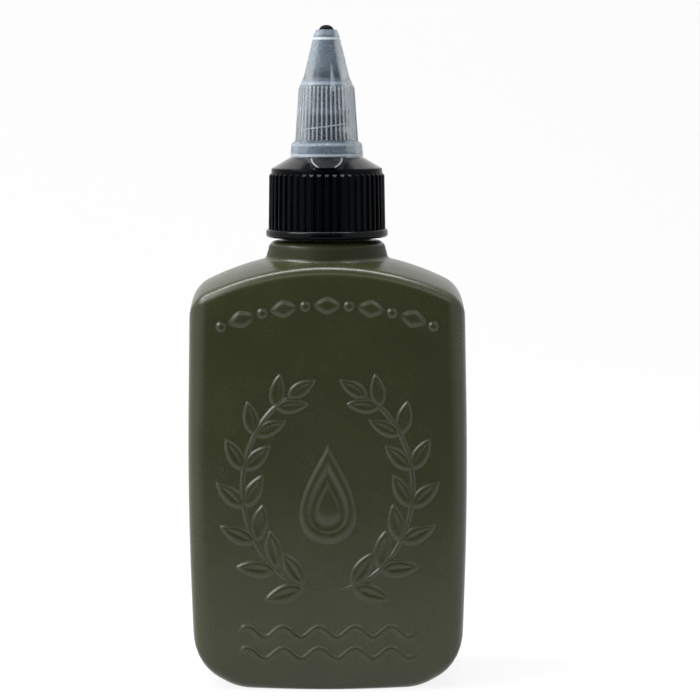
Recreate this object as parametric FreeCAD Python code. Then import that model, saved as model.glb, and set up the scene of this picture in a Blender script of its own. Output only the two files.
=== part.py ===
import FreeCAD, Part

import math
import os

from FreeCAD import Vector

# Flat squeeze bottle with a ribbed screw closure and a twist-open spout, shut.
# Millimetres, +Z up, origin on the floor under the middle of the bottle, front face towards -Y.

# Bottle body
bottle_width = 53.1
bottle_depth = 30.0
face_bow = 1.2
waist_height = 37.0
shoulder_height = 75.55
base_draw_in = 1.2
shoulder_draw_in = 0.7
shoulder_slope_deg = 25.0
shoulder_fall = 2.2
arch_share = 0.97
side_arc_share = 0.45
base_corner_radius = 11.0
shoulder_corner_radius = 6.0
edge_radius = 2.0
bottle_wall = 1.2
floor_thickness = 1.9
push_up_depth = 0.8
push_up_margin = 4.0
base_trim = 0.05

# Bottle neck
collar_diameter = 22.9
collar_rise = 2.3
collar_edge_radius = 2.6
collar_blend = 1.3
neck_diameter = 17.4
neck_bore = 14.4
neck_height = 11.6
rim_radius = 0.5

# Screw thread of neck and closure, right-handed
thread_pitch = 3.175
thread_turns = 1.5
thread_depth = 1.0
thread_base = 1.9
thread_crest = 0.8
thread_gap = 0.2
thread_top_gap = 2.2
thread_step_share = 0.5

# Liner
liner_thickness = 0.9
liner_overlap = 0.2

# Closure skirt
skirt_gap = 0.4
skirt_wall = 0.9
skirt_draft = 0.2
skirt_rib_count = 46
skirt_rib_width = 0.8
skirt_rib_height = 0.4
skirt_top_radius = 0.3
skirt_rib_top_gap = 0.9
bead_height = 1.6
bead_overhang = 0.47
bead_radius = 0.6

# Closure cone and its front tab
deck_wall = 1.0
cone_rise = 2.1
cone_top_diameter = 14.0
cone_foot_inset = 0.05
tab_top_width = 5.8
tab_bottom_width = 3.4
tab_rise = 0.35
tab_top_rise = 0.1
tab_foot_share = 0.15

# Tube, post and plug of the closure
tube_diameter = 7.4
tube_bore = 4.4
tube_height = 7.9
funnel_diameter = 11.0
land_diameter = 6.2
land_height = 4.3
window_height = 6.5
window_width = 1.8
window_tip_width = 0.4
window_count = 3
window_turn_deg = 30
window_gap = 0.3
hollow_tip_diameter = 2.3
hollow_tip_rise = 0.5
plug_diameter = 3.0
plug_lead_in = 1.2
plug_reach = 0.9
dome_share = 0.9

# Twist thread of tube and spout, right-handed
twist_lead = 3.4
twist_turns = 1.15
twist_depth = 0.5
twist_base = 1.2
twist_crest = 0.6
twist_gap = 0.25
twist_end_gap = 0.9
twist_step_share = 0.5
twist_front_deg = -90.0

# Spout
spout_seat_gap = 0.15
flange_diameter = 13.9
flange_draft = 0.2
flange_height = 2.4
flange_wall = 1.3
flange_slope_height = 0.7
grip_bottom_diameter = 12.1
grip_top_diameter = 10.6
grip_height = 10.4
grip_slope_height = 1.6
spout_rib_count = 40
spout_rib_width = 0.45
spout_rib_height = 0.22
nozzle_bottom_diameter = 8.7
nozzle_top_diameter = 4.8
nozzle_height = 8.0
tip_height = 0.9
tip_diameter = 3.9
orifice_land = 1.35
orifice_gap = 0.08
flow_gap = 0.45

# Spout seal
seal_height = 0.9
seal_width = 0.9
seal_gap = 0.05
seal_step_gap = 0.2
seal_lip = 0.4
seal_radius = 0.25

# Overrun of cuts, and the angle between the sections of a thread ridge
overrun = 1.0
touch = 0.01
ridge_sink = 0.3
section_step_deg = 22.5
run_out_deg = 60.0

# Heights worked out from the sizes above
half_width = bottle_width / 2
half_depth = bottle_depth / 2
shoulder_slope = math.radians(shoulder_slope_deg)
shoulder_run = half_width - shoulder_draw_in
shoulder_line = shoulder_run / math.cos(shoulder_slope)
apex_height = shoulder_height + shoulder_run * math.tan(shoulder_slope)
corner_reach = shoulder_corner_radius * math.tan(math.pi / 4 - shoulder_slope / 2)
arch_radius = arch_share * (shoulder_line - corner_reach) / math.tan(shoulder_slope)
crown_height = apex_height - arch_radius * (1 / math.cos(shoulder_slope) - 1)
collar_top = crown_height + collar_rise
rim_height = collar_top + neck_height
deck_underside = rim_height + liner_thickness
skirt_bottom = collar_top + skirt_gap
skirt_top = deck_underside + deck_wall
deck_top = skirt_top + cone_rise
tube_top = deck_top + tube_height
land_top = tube_top + land_height
window_bottom = land_top + window_gap
window_top = window_bottom + window_height

spout_bottom = deck_top + spout_seat_gap
flange_top = spout_bottom + flange_height
grip_bottom = flange_top + flange_slope_height
grip_top = grip_bottom + grip_height
nozzle_bottom = grip_top + grip_slope_height
nozzle_top = nozzle_bottom + nozzle_height
spout_tip = nozzle_top + tip_height
mouth_floor = spout_tip - orifice_land
plug_top = spout_tip + plug_reach

neck_radius = neck_diameter / 2
skirt_bore_radius = neck_radius + thread_depth + thread_gap
skirt_foot_radius = skirt_bore_radius + skirt_wall
skirt_head_radius = skirt_foot_radius - skirt_draft
tube_radius = tube_diameter / 2
land_radius = land_diameter / 2
plug_radius = plug_diameter / 2
spout_bore_radius = tube_radius + twist_depth + twist_gap
seal_bottom = tube_top + seal_step_gap
seal_inner_radius = land_radius + seal_gap
seal_outer_radius = seal_inner_radius + seal_width
seat_radius = seal_outer_radius + seal_gap
seat_top = seal_bottom + seal_height
chamber_radius = land_radius + seal_lip
mouth_radius = plug_radius + orifice_gap

origin = Vector(0, 0, 0)
up = Vector(0, 0, 1)


def rounded_outline(points):
    """Closed wire in the XZ plane through (x, z, corner radius), lines joined by tangent arcs."""
    corners = []
    count = len(points)
    for index, (x, z, radius) in enumerate(points):
        corner = Vector(x, 0, z)
        before = points[index - 1]
        after = points[(index + 1) % count]
        to_before = (Vector(before[0], 0, before[1]) - corner).normalize()
        to_after = (Vector(after[0], 0, after[1]) - corner).normalize()
        if radius <= 0:
            corners.append((corner, None, corner))
            continue
        half = to_before.getAngle(to_after) / 2
        reach = radius / math.tan(half)
        middle = corner + (to_before + to_after).normalize() * (radius / math.sin(half) - radius)
        corners.append((corner + to_before * reach, middle, corner + to_after * reach))
    edges = []
    for index, (start, middle, end) in enumerate(corners):
        if middle is not None:
            edges.append(Part.Arc(start, middle, end).toShape())
        following = corners[(index + 1) % count][0]
        edges.append(Part.LineSegment(end, following).toShape())
    return Part.Wire(edges)


def turned(points):
    """Solid of revolution about Z from an outline of (radius, z, corner radius)."""
    return Part.Face(rounded_outline(points)).revolve(origin, up, 360)


def whole(shape):
    """The one solid of a shape, with split faces joined again."""
    return shape.removeSplitter().Solids[0]


def ribbed_ring(radius, height, count, width, rise):
    """Closed wire at a height: a circle with evenly spaced rounded ribs."""
    step = 2 * math.pi / count
    half = width / 2 / radius

    def place(distance, angle):
        return Vector(distance * math.cos(angle), distance * math.sin(angle), height)

    edges = []
    for index in range(count):
        middle = index * step - math.pi / 2
        left = place(radius, middle - half)
        right = place(radius, middle + half)
        following = place(radius, middle + step - half)
        edges.append(Part.Arc(left, place(radius + rise, middle), right).toShape())
        edges.append(Part.Arc(right, place(radius, middle + step / 2), following).toShape())
    return Part.Wire(edges)


def thread_ridge(root, depth, base, crest, lead, start_height, start_deg, turns, outward):
    """Ridge that climbs round Z on a wall of radius root, sinking into the wall at both ends."""
    side = 1 if outward else -1
    sweep = 360 * turns
    count = max(2, math.ceil(sweep / section_step_deg))
    buried = root - side * ridge_sink
    sections = []
    for index in range(count + 1):
        along = sweep * index / count
        growth = min(1, along / run_out_deg, (sweep - along) / run_out_deg)
        top = root + side * (depth * growth - ridge_sink / 2 * (1 - growth))
        height = start_height + lead * along / 360
        flank = (base - crest) / 2 * ridge_sink / depth
        outline = Part.makePolygon(
            [
                Vector(buried, 0, height - base / 2 - flank),
                Vector(top, 0, height - crest / 2),
                Vector(top, 0, height + crest / 2),
                Vector(buried, 0, height + base / 2 + flank),
                Vector(buried, 0, height - base / 2 - flank),
            ]
        )
        outline.rotate(origin, up, start_deg + along)
        sections.append(outline)
    return Part.makeLoft(sections, True, False)


def body_solid(inset, floor, corner_edge):
    """Flat body of the bottle, drawn in all round by inset, its floor at the given height."""
    half = half_width - inset
    depth = half_depth - inset
    lift = inset / math.cos(shoulder_slope)
    corner_drop = lift - inset * math.tan(shoulder_slope)

    def side_arc_radius():
        low = math.atan2(base_draw_in, waist_height)
        high = math.atan2(shoulder_draw_in, shoulder_height - waist_height)
        reach = side_arc_share * min(waist_height, shoulder_height - waist_height)
        return reach / math.tan((low + high) / 2) - inset

    def front_outline(y):
        fall = shoulder_fall * (y / half_depth) ** 2
        right = [
            (half - base_draw_in, floor, base_corner_radius - inset),
            (half, waist_height, side_arc_radius()),
            (half - shoulder_draw_in, shoulder_height - corner_drop - fall, shoulder_corner_radius - inset),
        ]
        left = [(-x, z, radius) for x, z, radius in reversed(right)]
        apex = [(0, apex_height - lift - fall, arch_radius - inset)]
        wire = rounded_outline(right + apex + left)
        wire.translate(Vector(0, y, 0))
        return wire

    end = half_depth + overrun
    crowned = Part.makeLoft([front_outline(y) for y in (-end, 0, end)], True, False)

    face_radius = (half_width**2 + face_bow**2) / (2 * face_bow) - inset
    reach = half_width + overrun
    sag = face_radius - math.sqrt(face_radius**2 - reach**2)
    foot = floor - overrun

    def face_arc(side):
        ends = [Vector(x, side * (depth - sag), foot) for x in (-reach, reach)]
        return Part.Arc(ends[0], Vector(0, side * depth, foot), ends[1]).toShape()

    front = face_arc(-1)
    back = face_arc(1)
    sides = [
        Part.LineSegment(Vector(x, sag - depth, foot), Vector(x, depth - sag, foot)).toShape()
        for x in (-reach, reach)
    ]
    plan = Part.Wire(Part.__sortEdges__([front, sides[1], back, sides[0]]))
    slab = Part.Face(plan).extrude(Vector(0, 0, apex_height + overrun - foot))
    body = crowned.common(slab).Solids[0]
    rims = [edge for edge in body.Edges if edge.Vertexes[0].Y * edge.Vertexes[-1].Y > 0]
    return body.makeFillet(corner_edge, rims).Solids[0]


def at_collar_foot(edge):
    """Whether an edge runs round the collar where it meets the shoulder."""
    reaches = [math.hypot(point.x, point.y) for point in edge.discretize(5)]
    on_wall = all(abs(reach - collar_diameter / 2) < touch for reach in reaches)
    low = edge.BoundBox.ZMax < collar_top - collar_edge_radius - touch
    return on_wall and low and edge.BoundBox.ZLength < edge.Length / 2


def bottle():
    body = body_solid(0, -base_trim, edge_radius)
    under = Part.makeBox(bottle_width, bottle_depth, overrun, Vector(-half_width, -half_depth, -overrun))
    body = body.cut(under)
    collar_foot = crown_height - bottle_wall - shoulder_fall
    neck = turned(
        [
            (0, collar_foot, 0),
            (collar_diameter / 2, collar_foot, 0),
            (collar_diameter / 2, collar_top, collar_edge_radius),
            (neck_radius, collar_top, 0),
            (neck_radius, rim_height, rim_radius),
            (0, rim_height, 0),
        ]
    )
    shape = body.fuse(neck)
    blend_edges = [edge for edge in shape.Edges if at_collar_foot(edge)]
    shape = shape.makeFillet(collar_blend, blend_edges)

    ridge = thread_ridge(
        neck_radius, thread_depth, thread_base, thread_crest, thread_pitch,
        neck_thread_start, 0, thread_turns, True,
    )
    shape = shape.fuse(ridge)

    bore = Part.makeCylinder(neck_bore / 2, rim_height + overrun - waist_height, Vector(0, 0, waist_height))
    cavity = body_solid(bottle_wall, floor_thickness, edge_radius - bottle_wall).fuse(bore)
    flat_half = half_width - base_draw_in - base_corner_radius
    push_up_half = flat_half - push_up_margin
    push_up_deep = half_depth - edge_radius - push_up_margin
    push_up_corner = push_up_deep / 2
    hollow = Part.makeBox(
        2 * push_up_half, 2 * push_up_deep, push_up_depth + overrun,
        Vector(-push_up_half, -push_up_deep, -overrun),
    )
    uprights = [edge for edge in hollow.Edges if edge.BoundBox.ZLength > push_up_depth]
    hollow = hollow.makeFillet(push_up_corner, uprights)
    return whole(shape.cut([cavity, hollow]))


def neck_liner():
    outer = neck_radius + liner_overlap
    inner = neck_bore / 2 - liner_overlap
    return turned(
        [
            (inner, rim_height, 0),
            (outer, rim_height, 0),
            (outer, deck_underside, 0),
            (inner, deck_underside, 0),
        ]
    )


def closure_cone(lift):
    """Cone over the closure's deck, raised by lift."""
    return [
        (0, deck_underside, 0),
        (skirt_head_radius - cone_foot_inset, deck_underside, 0),
        (skirt_head_radius - cone_foot_inset, skirt_top + lift, 0),
        (cone_top_diameter / 2, deck_top + lift, 0),
        (0, deck_top + lift, 0),
    ]


def screw_cap():
    crest = skirt_foot_radius + skirt_rib_height
    ribs = [skirt_rib_count, skirt_rib_width, skirt_rib_height]
    rib_top = skirt_top - skirt_rib_top_gap
    rib_head_radius = skirt_foot_radius - skirt_draft * (rib_top - skirt_bottom) / (skirt_top - skirt_bottom)
    ribbed = Part.makeLoft(
        [
            ribbed_ring(skirt_foot_radius, skirt_bottom, *ribs),
            ribbed_ring(rib_head_radius, rib_top, *ribs),
        ],
        True,
        True,
    )
    rounding = turned(
        [
            (0, skirt_bottom - overrun, 0),
            (crest + overrun, skirt_bottom - overrun, 0),
            (crest + overrun, rib_top - skirt_rib_height, 0),
            (rib_head_radius + skirt_rib_height, rib_top - skirt_rib_height, 0),
            (rib_head_radius, rib_top, 0),
            (0, rib_top, 0),
        ]
    )
    rim = turned(
        [
            (0, rib_top, 0),
            (rib_head_radius, rib_top, 0),
            (skirt_head_radius, skirt_top, skirt_top_radius),
            (0, skirt_top, 0),
        ]
    )
    bead = turned(
        [
            (skirt_bore_radius, skirt_bottom, 0),
            (crest + bead_overhang, skirt_bottom, bead_radius),
            (crest + bead_overhang, skirt_bottom + bead_height, bead_radius),
            (skirt_bore_radius, skirt_bottom + bead_height, 0),
        ]
    )
    tab = rounded_outline(
        [
            (tab_top_width / 2, deck_top + tab_top_rise, 0),
            (tab_top_width / 2, deck_top, 0),
            (tab_bottom_width / 2, skirt_top + cone_rise * tab_foot_share, 0),
            (-tab_bottom_width / 2, skirt_top + cone_rise * tab_foot_share, 0),
            (-tab_top_width / 2, deck_top, 0),
            (-tab_top_width / 2, deck_top + tab_top_rise, 0),
        ]
    )
    tab_bar = Part.Face(tab).extrude(Vector(0, -skirt_head_radius, 0))
    flange_clear = Part.makeCylinder(cone_top_diameter / 2, cone_rise + overrun, Vector(0, 0, skirt_top))
    tab_bar = tab_bar.common(turned(closure_cone(tab_rise))).cut(flange_clear)

    post = turned(
        [
            (0, deck_underside, 0),
            (tube_radius, deck_underside, 0),
            (tube_radius, tube_top, 0),
            (land_radius, tube_top, 0),
            (land_radius, land_top, 0),
            (plug_radius, mouth_floor - plug_lead_in, 0),
            (plug_radius, plug_top, plug_radius * dome_share),
            (0, plug_top, 0),
        ]
    )
    ridge = thread_ridge(
        tube_radius, twist_depth, twist_base, twist_crest, twist_lead,
        tube_thread_start, tube_thread_deg, twist_turns, True,
    )
    head = turned(closure_cone(0)).fuse([tab_bar, post, ridge])
    shape = ribbed.common(rounding).fuse([rim, bead, head])

    bore_radius = tube_bore / 2
    funnel_radius = funnel_diameter / 2
    funnel_rise = (funnel_radius - bore_radius) * cone_rise / (skirt_head_radius - cone_top_diameter / 2)
    inside = turned(
        [
            (0, skirt_bottom - overrun, 0),
            (skirt_bore_radius, skirt_bottom - overrun, 0),
            (skirt_bore_radius, deck_underside, 0),
            (funnel_radius, deck_underside, 0),
            (bore_radius, deck_underside + funnel_rise, 0),
            (bore_radius, window_bottom, 0),
            (hollow_tip_diameter / 2, window_top - hollow_tip_rise, 0),
            (0, window_top, 0),
        ]
    )
    cuts = [inside]
    for index in range(window_count):
        wedge = rounded_outline(
            [
                (-window_width / 2, window_bottom, 0),
                (window_width / 2, window_bottom, 0),
                (window_tip_width / 2, window_top, 0),
                (-window_tip_width / 2, window_top, 0),
            ]
        )
        window = Part.Face(wedge).extrude(Vector(0, -land_radius - overrun, 0))
        window.rotate(origin, up, window_turn_deg + 360 * index / window_count)
        cuts.append(window)
    shape = shape.cut(cuts)

    inner_ridge = thread_ridge(
        skirt_bore_radius, thread_depth, thread_base, thread_crest, thread_pitch,
        cap_thread_start, 0, thread_turns, False,
    )
    return whole(shape.fuse(inner_ridge))


def spout_seal():
    return turned(
        [
            (seal_inner_radius, seal_bottom, seal_radius),
            (seal_outer_radius, seal_bottom, seal_radius),
            (seal_outer_radius, seal_bottom + seal_height, seal_radius),
            (seal_inner_radius, seal_bottom + seal_height, seal_radius),
        ]
    )


def twist_spout():
    grip_foot = grip_bottom_diameter / 2 - spout_rib_height
    grip_head = grip_top_diameter / 2 - spout_rib_height
    ribs = [spout_rib_count, spout_rib_width, spout_rib_height]
    grip_rise = nozzle_bottom - flange_top
    grip_end = grip_foot + (grip_head - grip_foot) * grip_rise / (grip_top - flange_top)
    grip = Part.makeLoft(
        [ribbed_ring(grip_foot, flange_top, *ribs), ribbed_ring(grip_end, nozzle_bottom, *ribs)], True, True
    )
    slope_run = grip_head - nozzle_bottom_diameter / 2
    envelope = turned(
        [
            (0, flange_top - overrun, 0),
            (grip_head + overrun, flange_top - overrun, 0),
            (grip_head + overrun, grip_top - overrun * grip_slope_height / slope_run, 0),
            (nozzle_bottom_diameter / 2, nozzle_bottom, 0),
            (0, nozzle_bottom, 0),
        ]
    )
    flange = turned(
        [
            (0, spout_bottom, 0),
            (flange_diameter / 2, spout_bottom, 0),
            (flange_diameter / 2 - flange_draft, flange_top, 0),
            (grip_foot, grip_bottom, 0),
            (0, grip_bottom, 0),
        ]
    )
    nozzle = turned(
        [
            (0, nozzle_bottom, 0),
            (nozzle_bottom_diameter / 2, nozzle_bottom, 0),
            (nozzle_top_diameter / 2, nozzle_top, 0),
            (tip_diameter / 2, spout_tip, 0),
            (0, spout_tip, 0),
        ]
    )
    shape = grip.common(envelope).fuse([flange, nozzle])
    inside = turned(
        [
            (0, spout_bottom - overrun, 0),
            (flange_diameter / 2 - flange_wall, spout_bottom - overrun, 0),
            (flange_diameter / 2 - flange_wall, flange_top, 0),
            (spout_bore_radius, flange_top, 0),
            (spout_bore_radius, tube_top, 0),
            (seat_radius, tube_top, 0),
            (seat_radius, seat_top, 0),
            (chamber_radius, seat_top, 0),
            (chamber_radius, land_top, 0),
            (plug_radius + flow_gap, mouth_floor, 0),
            (mouth_radius, mouth_floor, 0),
            (mouth_radius, spout_tip + overrun, 0),
            (0, spout_tip + overrun, 0),
        ]
    )
    shape = shape.cut(inside)
    ridge = thread_ridge(
        spout_bore_radius, twist_depth, twist_base, twist_crest, twist_lead,
        spout_thread_start, spout_thread_deg, spout_thread_turns, False,
    )
    return whole(shape.fuse(ridge))


# Places of the thread ridges: those of the closure and the spout lie in the grooves of their mates
neck_thread_start = rim_height - thread_top_gap - thread_pitch * thread_turns
cap_thread_start = neck_thread_start - thread_pitch * thread_step_share
tube_thread_deg = twist_front_deg
tube_thread_start = tube_top - twist_end_gap - twist_lead * twist_turns
spout_thread_deg = tube_thread_deg
spout_thread_start = tube_thread_start + twist_lead * twist_step_share
spout_thread_turns = (tube_top - twist_end_gap - spout_thread_start) / twist_lead

os.makedirs("parts", exist_ok=True)
for make in (bottle, neck_liner, screw_cap, spout_seal, twist_spout):
    solid = make()
    print(make.__name__, solid.isValid(), len(solid.Solids), round(solid.Volume, 1))
    solid.exportStep("parts/" + make.__name__ + ".step")
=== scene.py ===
# %% [markdown]
# # A flat squeeze bottle with a twist spout
# The object is a flat olive-green bottle for oil or sauce. A black ribbed closure is screwed on its neck,
# and a frosted spout on top of that twists open. The exact solids come from the packed model. In this
# lesson they get their finishes, and the bottle is modelled again with the soft edges of a blown moulding.

# %% Load the packed model
import math

import bmesh
import bpy
from mathutils import Matrix, Vector


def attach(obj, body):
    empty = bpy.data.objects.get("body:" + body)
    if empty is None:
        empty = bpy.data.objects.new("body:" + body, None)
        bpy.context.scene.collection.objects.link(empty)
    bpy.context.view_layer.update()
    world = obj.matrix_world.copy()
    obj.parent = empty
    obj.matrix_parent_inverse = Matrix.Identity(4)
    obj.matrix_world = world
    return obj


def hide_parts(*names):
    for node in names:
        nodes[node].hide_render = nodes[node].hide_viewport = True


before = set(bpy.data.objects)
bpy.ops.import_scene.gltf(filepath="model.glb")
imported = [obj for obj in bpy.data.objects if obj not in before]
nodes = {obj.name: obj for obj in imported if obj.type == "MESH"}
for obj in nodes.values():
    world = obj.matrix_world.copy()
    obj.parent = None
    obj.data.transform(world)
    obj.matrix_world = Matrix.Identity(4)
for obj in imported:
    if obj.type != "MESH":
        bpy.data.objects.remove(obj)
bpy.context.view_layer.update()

mm = 0.001

# %% [markdown]
# ## Camera
# The photograph is taken from the front with a long lens, a little above the spout's foot and looking
# slightly down. Distance, height and focal length were worked out from the widths of the bottle at many
# heights. The bottle stands left of the picture's middle, and a lens shift does that without turning it.
# The camera was not held quite level, so it also rolls by a fraction of a degree.

# %% Camera
picture, axis_column, axis_row = 700, 327.35, 348.37
camera_distance, camera_height = 0.4854, 0.11246
look_down, camera_roll = 5.757, -0.18
sensor, focal_length = 36, 130.48
camera_data = bpy.data.cameras.new("camera")
camera = bpy.data.objects.new("camera", camera_data)
bpy.context.scene.collection.objects.link(camera)
camera.location = (0, -camera_distance, camera_height)
tilt = Matrix.Rotation(math.radians(90 - look_down), 3, "X")
roll = Matrix.Rotation(math.radians(camera_roll), 3, "Z")
camera.rotation_euler = (tilt @ roll).to_euler()
camera_data.sensor_width, camera_data.lens = sensor, focal_length
camera_data.shift_x = (picture / 2 - axis_column) / picture
camera_data.shift_y = (axis_row - picture / 2) / picture
camera_data.clip_start = 0.01
bpy.context.scene.camera = camera
print("camera shift:", round(camera_data.shift_x, 4), round(camera_data.shift_y, 4))

# %% [markdown]
# ## Writing a finish
# A finish is a material made of nodes. Adding nodes by hand is slow to read, so one small class wraps a
# socket and lets ordinary Python maths add the Math nodes. Every other node comes from one method, which
# takes the node's type, its settings and what goes into its sockets.


# %% Socket maths
class Wire:
    """An output socket of a finish. Maths on it adds Math nodes."""

    def __init__(self, finish, socket):
        self.finish = finish
        self.socket = socket

    def maths(self, operation, first, second):
        return self.finish.node("ShaderNodeMath", {"operation": operation}, {0: first, 1: second})

    def __add__(self, other):
        return self.maths("ADD", self, other)

    def __sub__(self, other):
        return self.maths("SUBTRACT", self, other)

    def __rsub__(self, other):
        return self.maths("SUBTRACT", other, self)

    def __mul__(self, other):
        return self.maths("MULTIPLY", self, other)

    __radd__ = __add__
    __rmul__ = __mul__


print("socket maths made: plus, minus and times")


# %% Nodes of a finish
class Finish:
    """The nodes of a material, or of the room's light, added one call at a time."""

    def __init__(self, name, kind="materials"):
        self.material = getattr(bpy.data, kind).new(name)
        self.material.use_nodes = True
        self.tree = self.material.node_tree
        self.shader = next(node for node in self.tree.nodes if node.type in ("BSDF_PRINCIPLED", "BACKGROUND"))

    def feed(self, socket, value):
        if isinstance(value, Wire):
            self.tree.links.new(value.socket, socket)
        else:
            socket.default_value = value

    def node(self, kind, settings=None, sockets=None, output=0):
        made = self.tree.nodes.new(kind)
        for name, value in (settings or {}).items():
            setattr(made, name, value)
        for key, value in (sockets or {}).items():
            self.feed(made.inputs[key], value)
        return Wire(self, made.outputs[output])

    def place(self):
        return self.node("ShaderNodeTexCoord", output="Object")

    def along(self, place, axis):
        """How far a place lies along one axis."""
        return self.node("ShaderNodeSeparateXYZ", {}, {0: place}, axis)

    def from_axis(self, place):
        """How far a place lies from the bottle's upright axis."""
        flat = self.node("ShaderNodeVectorMath", {"operation": "MULTIPLY"}, {0: place, 1: (1, 1, 0)})
        return self.node("ShaderNodeVectorMath", {"operation": "LENGTH"}, {0: flat}, "Value")

    def absolute(self, value):
        return self.node("ShaderNodeMath", {"operation": "ABSOLUTE"}, {0: value})

    def noise(self, place, size_mm, detail=2.0, rough=0.5):
        """Soft noise from 0 to 1, whose spots are about size_mm across."""
        return self.node(
            "ShaderNodeTexNoise",
            {},
            {"Vector": place, "Scale": 1 / (size_mm * mm), "Detail": detail, "Roughness": rough},
        )

    def smooth_step(self, value, low, high):
        return self.node(
            "ShaderNodeMapRange",
            {"interpolation_type": "SMOOTHSTEP"},
            {"Value": value, "From Min": low, "From Max": high},
        )

    def band(self, value, low, high, soft=0.12):
        """1 between two values in millimetres, with soft ends."""
        start = self.smooth_step(value, (low - soft) * mm, (low + soft) * mm)
        return start * (1 - self.smooth_step(value, (high - soft) * mm, (high + soft) * mm))

    def seen_white(self):
        """1 for rays that show white to the camera: its own, mirrored ones and those that come through."""
        rays = ("Camera", "Glossy", "Transmission")
        own, mirrored, through = (self.node("ShaderNodeLightPath", output=f"Is {ray} Ray") for ray in rays)
        return own + mirrored + through

    def blend(self, share, first, second):
        """One colour turning into another."""
        return self.node("ShaderNodeMix", {"data_type": "RGBA"}, {0: share, 6: first, 7: second}, 2)

    def bump(self, height, distance_mm):
        bumps = self.node("ShaderNodeBump", {}, {"Height": height, "Distance": distance_mm * mm})
        self.feed(self.shader.inputs["Normal"], bumps)

    def mix_in(self, share, other):
        """Mixes a share of another shader into the finish's own."""
        own = Wire(self, self.shader.outputs[0])
        mixed = self.node("ShaderNodeMixShader", {}, {0: share, 1: own, 2: other})
        self.feed(self.tree.nodes["Material Output"].inputs["Surface"], mixed)

    def set(self, **sockets):
        for name, value in sockets.items():
            self.feed(self.shader.inputs[name.replace("_", " ")], value)


print("a finish can:", [name for name in vars(Finish) if not name.startswith("_")])


# %% Screen colours
def colour(red, green, blue):
    """A screen colour of 0 to 255 as the linear numbers that a shader takes."""
    parts = []
    for value in (red, green, blue):
        value /= 255
        parts.append(value / 12.92 if value <= 0.04045 else ((value + 0.055) / 1.055) ** 2.4)
    return (*parts, 1.0)


print("middle grey as a linear number:", round(colour(128, 128, 128)[0], 4))

# %% [markdown]
# ## Studio
# The bottle stands on white paper that curves up behind it. White paper round a satin bottle is what
# lights up its shoulders and its two sides, because a surface seen at a low angle mirrors what is behind
# it. A dark screen in front and overhead is there for mirrored rays alone. So the front mirrors nothing
# bright and keeps its own colour, and only its lowest part catches some white from the paper. The paper is
# a plane whose far edge is extruded upwards and whose fold is then rounded with a bevel. The screen is a
# plane too, extruded to a roof and to a strip on the floor.


# %% White paper
def add(primitive, **sizes):
    """A new primitive, alone selected."""
    bpy.ops.object.select_all(action="DESELECT")
    primitive(**sizes)
    return bpy.context.object


def choose_edges(piece, test):
    """Selects those edges of a piece in edit mode whose middle passes the test."""
    bpy.ops.mesh.select_all(action="DESELECT")
    bpy.ops.mesh.select_mode(type="EDGE")
    mesh = bmesh.from_edit_mesh(piece.data)
    for edge in mesh.edges:
        edge.select_set(test((edge.verts[0].co + edge.verts[1].co) / 2))
    mesh.select_flush_mode()
    bmesh.update_edit_mesh(piece.data)


paper_size, paper_back, paper_rise, fold, fold_steps = 3.0, 1.0, 1.8, 0.5, 16
near = 0.01
paper = add(bpy.ops.mesh.primitive_plane_add, size=paper_size, location=(0, paper_back - paper_size / 2, 0))
paper.name = "studio_paper"
bpy.ops.object.transform_apply(location=True, rotation=True, scale=True)
bpy.ops.object.mode_set(mode="EDIT")
choose_edges(paper, lambda middle: middle.y > paper_back - near)
bpy.ops.mesh.extrude_region_move(TRANSFORM_OT_translate={"value": (0, 0, paper_rise)})
choose_edges(paper, lambda middle: middle.y > paper_back - near and abs(middle.z) < near)
bpy.ops.mesh.bevel(offset=fold, segments=fold_steps, affect="EDGES")
bpy.ops.object.mode_set(mode="OBJECT")
bpy.ops.object.shade_smooth()
print("paper faces:", len(paper.data.polygons))

# %% Dark screen
screen_middle = (0, -0.62, 0.6)
screen_width, screen_height, roof, floor_strip = 0.70, 1.198, 1.55, 0.47
screen = add(bpy.ops.mesh.primitive_plane_add, size=1.0, location=screen_middle, rotation=(math.pi / 2, 0, 0))
screen.name = "studio_screen"
bpy.ops.object.transform_apply(location=True, rotation=True, scale=True)
bpy.ops.object.mode_set(mode="EDIT")
bpy.ops.mesh.select_all(action="SELECT")
bpy.ops.transform.resize(value=(screen_width, 1, screen_height), center_override=screen_middle)
choose_edges(screen, lambda middle: middle.z > screen_height - near)
bpy.ops.mesh.extrude_region_move(TRANSFORM_OT_translate={"value": (0, roof, 0)})
choose_edges(screen, lambda middle: middle.z < near)
bpy.ops.mesh.extrude_region_move(TRANSFORM_OT_translate={"value": (0, floor_strip, 0)})
bpy.ops.object.mode_set(mode="OBJECT")
for ray in ("camera", "diffuse", "transmission", "shadow"):
    setattr(screen, f"visible_{ray}", False)
lowest = min(vertex.co.z for vertex in screen.data.vertices)
print("screen faces:", len(screen.data.polygons), "lowest:", round(lowest, 4))

# %% Paper, screen and room light
paper_glow, room_light, room_seen = 0.88, 0.25, 1.0
white_paper = Finish("white_paper")
white_paper.set(Base_Color=(0.86, 0.86, 0.86, 1), Roughness=0.9)
glow = white_paper.node("ShaderNodeEmission", {}, {"Color": (1, 1, 1, 1), "Strength": 1.0})
white_paper.mix_in(white_paper.seen_white() * paper_glow, glow)
paper.data.materials.append(white_paper.material)

dark_cloth = Finish("dark_cloth")
dark_cloth.set(Base_Color=(0.012, 0.012, 0.014, 1), Roughness=0.95)
screen.data.materials.append(dark_cloth.material)

room = Finish("room", "worlds")
seen = {"Value": room.seen_white(), "To Min": room_light, "To Max": room_seen}
room.set(Color=(0.97, 0.985, 1.0, 1), Strength=room.node("ShaderNodeMapRange", {}, seen))
bpy.context.scene.world = room.material
bpy.context.scene.view_settings.view_transform = "Standard"
print("room:", room.material.name, "paper:", white_paper.material.name, "screen:", dark_cloth.material.name)

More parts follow.
